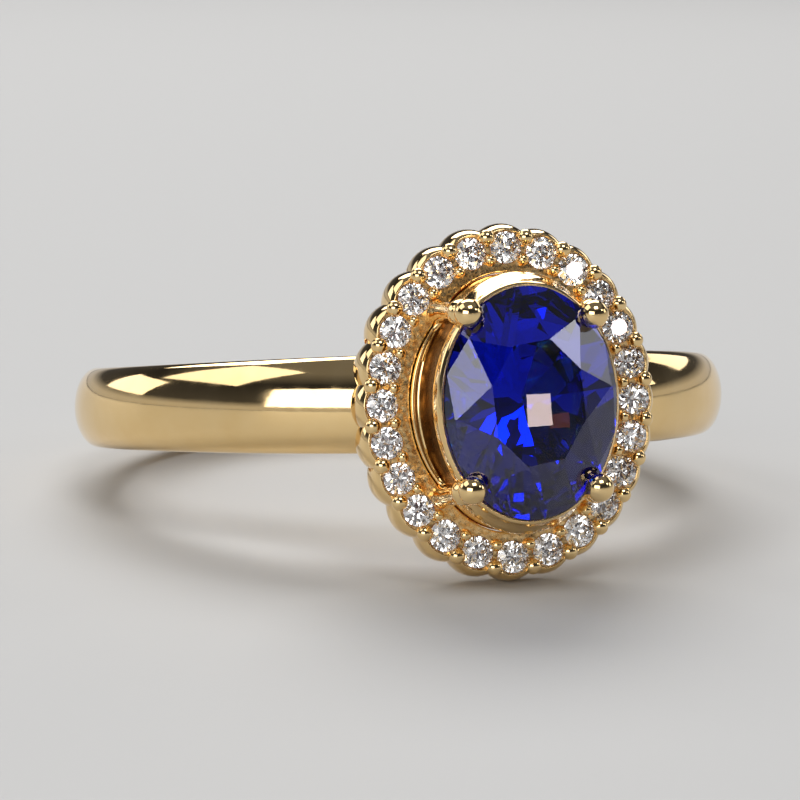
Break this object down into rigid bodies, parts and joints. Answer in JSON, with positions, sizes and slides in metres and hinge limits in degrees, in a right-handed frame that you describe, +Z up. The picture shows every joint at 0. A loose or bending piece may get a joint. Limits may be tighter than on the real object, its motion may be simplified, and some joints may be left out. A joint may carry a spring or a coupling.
{
  "type": "engagement ring",
  "caption": "Yellow gold ring with a plain domed shank, an oval blue sapphire in ball claws and an oval halo of bead-set round diamonds with a scalloped rim.",
  "frame": {"origin": "on the surface the ring lies on, under the centre of its bounding box", "axes": "+Z up; the head faces -Y and is tipped up by 10.1 degrees; the finger's axis leans 10.1 degrees from +Z towards +Y; +X is to the right when the head faces the viewer"},
  "size_m": [0.0206, 0.0256, 0.01],
  "materials": {
    "polished_gold": "polished",
    "bead_cut_gold": "gloss",
    "sapphire": "polished",
    "diamond": "polished"
  },
  "bodies": {
    "root": {"shank": "polished_gold", "lower_rail": "polished_gold", "halo_plate": "bead_cut_gold", "collar": "polished_gold", "claw_upper_left": "polished_gold", "claw_upper_right": "polished_gold", "claw_lower_right": "polished_gold", "claw_lower_left": "polished_gold", "sapphire": "sapphire", "diamond_01": "diamond", "diamond_02": "diamond", "diamond_03": "diamond", "diamond_04": "diamond", "diamond_05": "diamond", "diamond_06": "diamond", "diamond_07": "diamond", "diamond_08": "diamond", "diamond_09": "diamond", "diamond_10": "diamond", "diamond_11": "diamond", "diamond_12": "diamond", "diamond_13": "diamond", "diamond_14": "diamond", "diamond_15": "diamond", "diamond_16": "diamond", "diamond_17": "diamond", "diamond_18": "diamond", "diamond_19": "diamond", "diamond_20": "diamond", "diamond_21": "diamond", "diamond_22": "diamond", "diamond_23": "diamond", "diamond_24": "diamond"}
  },
  "joints": []
}
